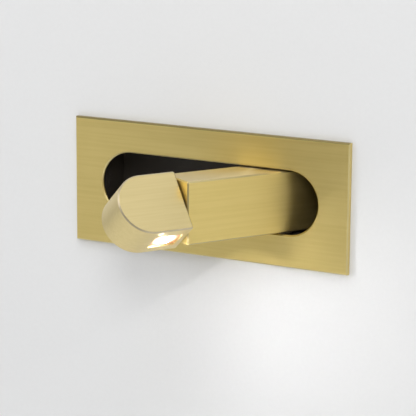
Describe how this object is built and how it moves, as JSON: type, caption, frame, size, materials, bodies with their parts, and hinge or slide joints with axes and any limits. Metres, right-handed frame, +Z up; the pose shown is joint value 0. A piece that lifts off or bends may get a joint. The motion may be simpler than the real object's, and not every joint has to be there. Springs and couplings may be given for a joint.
{
  "type": "recessed wall reading lamp",
  "caption": "Recessed wall reading lamp: a brass bar hinged in a slotted face plate swings out, and its swivelling end holds a small LED light; folded, it lies flush.",
  "frame": {"origin": "middle of the face plate's back face, on the wall's surface", "axes": "+X to the right along the plate, +Y into the wall, +Z up"},
  "size_m": [0.19, 0.1498, 0.08],
  "materials": {
    "plate_brass": "satin, brushed lengthwise",
    "casing_brass": "satin, brushed lengthwise",
    "liner_black": "matt black paint",
    "box_steel": "galvanised",
    "spring_steel": "blued spring steel",
    "bright_steel": "zinc plated",
    "screw_brass": "bright",
    "bearing_nylon": "natural nylon",
    "black_rubber": "matt",
    "white_case": "moulded, matt",
    "terminal_ivory": "moulded, matt",
    "switch_black": "moulded",
    "lead_black": "sheathed lead",
    "wire_brown": "insulated wire",
    "sink_aluminium": "machined",
    "board_white": "white solder mask",
    "phosphor": "warm white phosphor",
    "lens_clear": "lightly frosted"
  },
  "bodies": {
    "housing": {"face_plate": "plate_brass", "plate_studs": "screw_brass", "stud_nuts": "bright_steel", "recess_liner": "liner_black", "stop_bumper": "black_rubber", "back_box": "box_steel", "box_top_plate": "box_steel", "box_back_plate": "box_steel", "cable_grommet": "black_rubber", "earth_screw": "screw_brass", "upper_hinge_plate": "bright_steel", "lower_hinge_plate": "bright_steel", "hinge_plate_rivets": "liner_black", "upper_hinge_bush": "bearing_nylon", "lower_hinge_bush": "bearing_nylon", "left_spring_clip": "spring_steel", "right_spring_clip": "spring_steel", "clip_rivets": "liner_black", "led_driver": "white_case", "driver_screws": "bright_steel", "terminal_block": "terminal_ivory", "terminal_screws": "screw_brass", "terminal_fixing_screws": "bright_steel", "mains_wires": "wire_brown", "reed_switch": "switch_black", "switch_lead": "lead_black", "supply_lead": "lead_black"},
    "hinge_pivot": {"hinge_pin": "bright_steel", "upper_thrust_washer": "bearing_nylon", "lower_thrust_washer": "bearing_nylon", "hinge_spring_washer": "spring_steel", "hinge_nut": "bright_steel"},
    "arm": {"arm_casing": "casing_brass", "arm_cover": "casing_brass", "arm_cover_screws": "screw_brass", "hinge_sleeve": "screw_brass", "arm_swivel_bush": "bearing_nylon", "arm_magnet": "bright_steel", "arm_lead": "lead_black"},
    "swivel_pivot": {"swivel_spindle": "bright_steel", "seam_washer": "bearing_nylon", "swivel_spring_washer": "spring_steel", "swivel_nut": "bright_steel"},
    "head": {"head_casing": "casing_brass", "head_cover": "casing_brass", "head_cover_screws": "screw_brass", "head_swivel_bush": "bearing_nylon", "lens": "lens_clear", "reflector": "white_case", "led_board": "board_white", "led_emitters": "phosphor", "board_screws": "bright_steel", "heat_sink": "sink_aluminium", "heat_sink_screws": "bright_steel", "head_lead": "lead_black"}
  },
  "joints": [
    {"name": "arm_swing", "type": "hinge", "parent": "housing", "child": "hinge_pivot", "pos_m": [0.044, 0.01, 0], "axis": [0, 0, 1], "range_deg": [-38.8, 31.2]},
    {"name": "arm_stow", "type": "hinge", "parent": "hinge_pivot", "child": "arm", "pos_m": [0.044, 0.01, 0], "axis": [0, 0, 1], "range_deg": [-20, 0]},
    {"name": "head_square", "type": "hinge", "parent": "arm", "child": "swivel_pivot", "pos_m": [0.044, 0.01, 0], "axis": [-0.518, -0.8554, 0], "range_deg": [-38, 0]},
    {"name": "head_turn", "type": "hinge", "parent": "swivel_pivot", "child": "head", "pos_m": [0.044, 0.01, 0], "axis": [-0.518, -0.8554, 0], "range_deg": [-180, 180]}
  ],
  "couplings": [
    {"joint": "head_square", "follows": "arm_stow", "ratio": 1.9}
  ]
}
